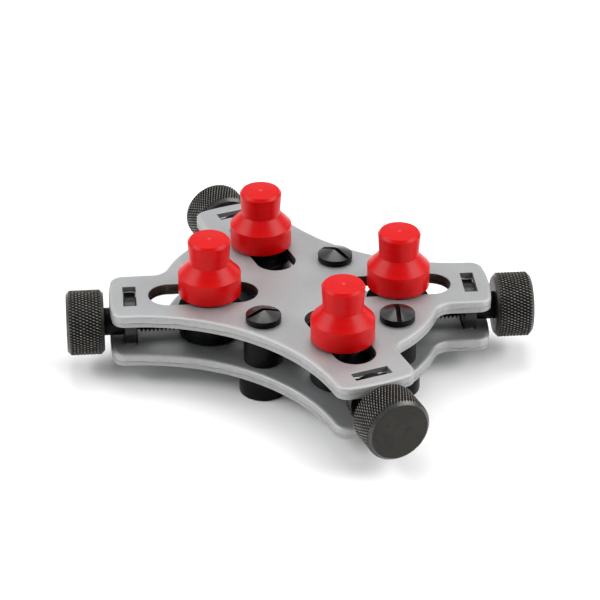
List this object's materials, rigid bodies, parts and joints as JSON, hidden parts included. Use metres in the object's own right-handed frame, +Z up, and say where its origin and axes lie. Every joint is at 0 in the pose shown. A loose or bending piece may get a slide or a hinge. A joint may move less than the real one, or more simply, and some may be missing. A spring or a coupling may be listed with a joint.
{
  "type": "watch case holder",
  "caption": "Bench holder for watch cases: two steel plates with sliding plastic studs, each moved along an arm by a captive lead screw with a knurled knob.",
  "frame": {"origin": "middle of the holder on the plane that its four feet stand on", "axes": "+Z up through the plates, +X along the long axis of the plates, +Y towards the back long side"},
  "size_m": [0.1026, 0.0802, 0.0353],
  "materials": {
    "plate_steel": "fine bead-blasted satin, bright rolled edges",
    "black_steel": "black oxide, turned, oiled satin",
    "screw_steel": "black oxide, threaded and turned",
    "knob_steel": "black oxide over a crisp diamond knurl, faced end",
    "stud_plastic": "turned plastic, satin"
  },
  "bodies": {
    "holder_frame": {"top_plate": "plate_steel", "bottom_plate": "plate_steel", "pillar_screw_front": "black_steel", "pillar_screw_right": "black_steel", "pillar_screw_back": "black_steel", "pillar_screw_left": "black_steel", "spacer_front": "black_steel", "spacer_right": "black_steel", "spacer_back": "black_steel", "spacer_left": "black_steel", "foot_front": "black_steel", "foot_right": "black_steel", "foot_back": "black_steel", "foot_left": "black_steel"},
    "screw_front_right": {"lead_screw_front_right": "screw_steel", "knob_front_right": "knob_steel"},
    "screw_back_right": {"lead_screw_back_right": "screw_steel", "knob_back_right": "knob_steel"},
    "screw_back_left": {"lead_screw_back_left": "screw_steel", "knob_back_left": "knob_steel"},
    "screw_front_left": {"lead_screw_front_left": "screw_steel", "knob_front_left": "knob_steel"},
    "jaw_front_right": {"slider_front_right": "black_steel", "stud_front_right": "stud_plastic"},
    "jaw_back_right": {"slider_back_right": "black_steel", "stud_back_right": "stud_plastic"},
    "jaw_back_left": {"slider_back_left": "black_steel", "stud_back_left": "stud_plastic"},
    "jaw_front_left": {"slider_front_left": "black_steel", "stud_front_left": "stud_plastic"}
  },
  "joints": [
    {"name": "knob_front_right_turn", "type": "hinge", "parent": "holder_frame", "child": "screw_front_right", "pos_m": [0.03961, -0.02867, 0.0128], "axis": [-0.81, 0.5864, 0], "range_deg": [-3637, 2486]},
    {"name": "jaw_front_right_travel", "type": "slide", "parent": "holder_frame", "child": "jaw_front_right", "axis": [0.81, -0.5864, 0], "range_m": [-0.0101, 0.0069]},
    {"name": "knob_back_right_turn", "type": "hinge", "parent": "holder_frame", "child": "screw_back_right", "pos_m": [0.03961, 0.02867, 0.0128], "axis": [-0.81, -0.5864, 0], "range_deg": [-3224, 2900]},
    {"name": "jaw_back_right_travel", "type": "slide", "parent": "holder_frame", "child": "jaw_back_right", "axis": [0.81, 0.5864, 0], "range_m": [-0.00895, 0.00805]},
    {"name": "knob_back_left_turn", "type": "hinge", "parent": "holder_frame", "child": "screw_back_left", "pos_m": [-0.03961, 0.02867, 0.0128], "axis": [0.81, -0.5864, 0], "range_deg": [-3457, 2666]},
    {"name": "jaw_back_left_travel", "type": "slide", "parent": "holder_frame", "child": "jaw_back_left", "axis": [-0.81, 0.5864, 0], "range_m": [-0.0096, 0.0074]},
    {"name": "knob_front_left_turn", "type": "hinge", "parent": "holder_frame", "child": "screw_front_left", "pos_m": [-0.03961, -0.02867, 0.0128], "axis": [0.81, 0.5864, 0], "range_deg": [-2485, 3638]},
    {"name": "jaw_front_left_travel", "type": "slide", "parent": "holder_frame", "child": "jaw_front_left", "axis": [-0.81, -0.5864, 0], "range_m": [-0.0069, 0.0101]}
  ],
  "couplings": [
    {"joint": "knob_front_right_turn", "follows": "jaw_front_right_travel", "rad_per_m": 6283.2},
    {"joint": "knob_back_right_turn", "follows": "jaw_back_right_travel", "rad_per_m": 6283.2},
    {"joint": "knob_back_left_turn", "follows": "jaw_back_left_travel", "rad_per_m": 6283.2},
    {"joint": "knob_front_left_turn", "follows": "jaw_front_left_travel", "rad_per_m": 6283.2}
  ]
}
